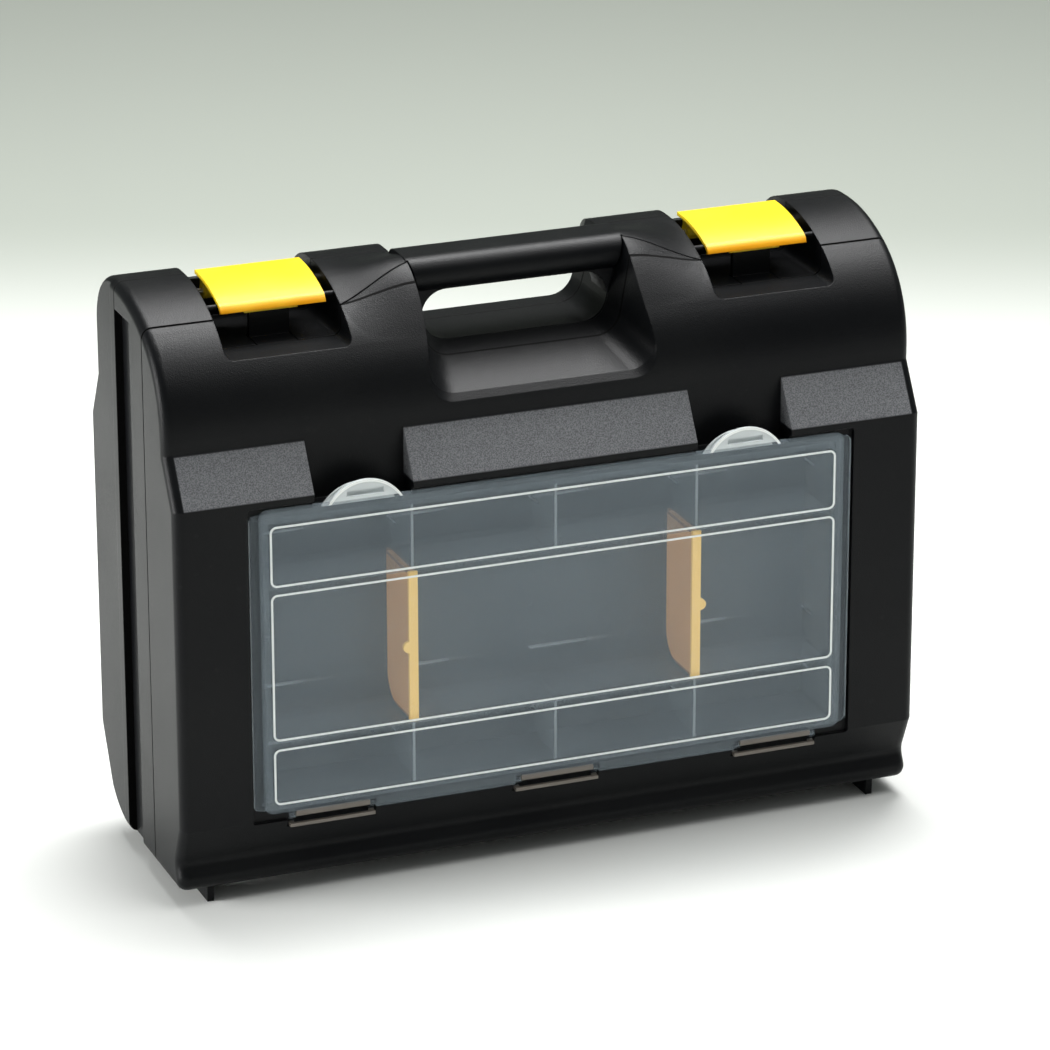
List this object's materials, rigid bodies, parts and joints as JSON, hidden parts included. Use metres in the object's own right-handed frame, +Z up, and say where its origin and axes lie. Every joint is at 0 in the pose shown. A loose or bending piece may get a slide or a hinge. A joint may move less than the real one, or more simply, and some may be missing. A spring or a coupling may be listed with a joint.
{
  "type": "tool case",
  "caption": "Moulded plastic tool case with a folded-in carrying handle, snap latches over the top edge, a hinged front shell and a clear small-parts organizer set into it.",
  "frame": {"origin": "centre of the case's footprint, on the plane the feet stand on", "axes": "+X along the width towards the right as seen from the front, +Y from the organizer front to the back, +Z up"},
  "size_m": [0.46, 0.16, 0.357],
  "materials": {
    "black_plastic": "fine grain, satin",
    "yellow_plastic": "smooth, glossy",
    "amber_plastic": "smooth",
    "clear_plastic": "milky clear",
    "steel": "drawn wire"
  },
  "bodies": {
    "base": {"rear_shell": "black_plastic", "middle_frame": "black_plastic", "latch_pin_left": "steel", "latch_pin_right": "steel", "hinge_pin_left": "steel", "hinge_pin_right": "steel", "shell_screws": "steel"},
    "front_lid": {"front_shell": "black_plastic"},
    "latch_left": {"latch_left": "yellow_plastic"},
    "latch_right": {"latch_right": "yellow_plastic"},
    "organizer": {"organizer_tray": "clear_plastic", "divider_left": "amber_plastic", "divider_right": "amber_plastic"},
    "organizer_lid": {"organizer_lid": "clear_plastic"}
  },
  "joints": [
    {"name": "front_lid_hinge", "type": "hinge", "parent": "base", "child": "front_lid", "pos_m": [0, -0.025, 0.0065], "axis": [1, 0, 0], "range_deg": [0, 105]},
    {"name": "latch_left_hinge", "type": "hinge", "parent": "base", "child": "latch_left", "pos_m": [-0.1495, 0.02, 0.342], "axis": [-1, 0, 0], "range_deg": [0, 110]},
    {"name": "latch_right_hinge", "type": "hinge", "parent": "base", "child": "latch_right", "pos_m": [0.1495, 0.02, 0.342], "axis": [-1, 0, 0], "range_deg": [0, 110]},
    {"name": "organizer_slide", "type": "slide", "parent": "front_lid", "child": "organizer", "axis": [0, -1, 0], "range_m": [0, 0.06]},
    {"name": "organizer_lid_hinge", "type": "hinge", "parent": "organizer", "child": "organizer_lid", "pos_m": [0, -0.0776, 0.0533], "axis": [1, 0, 0], "range_deg": [0, 100]}
  ]
}
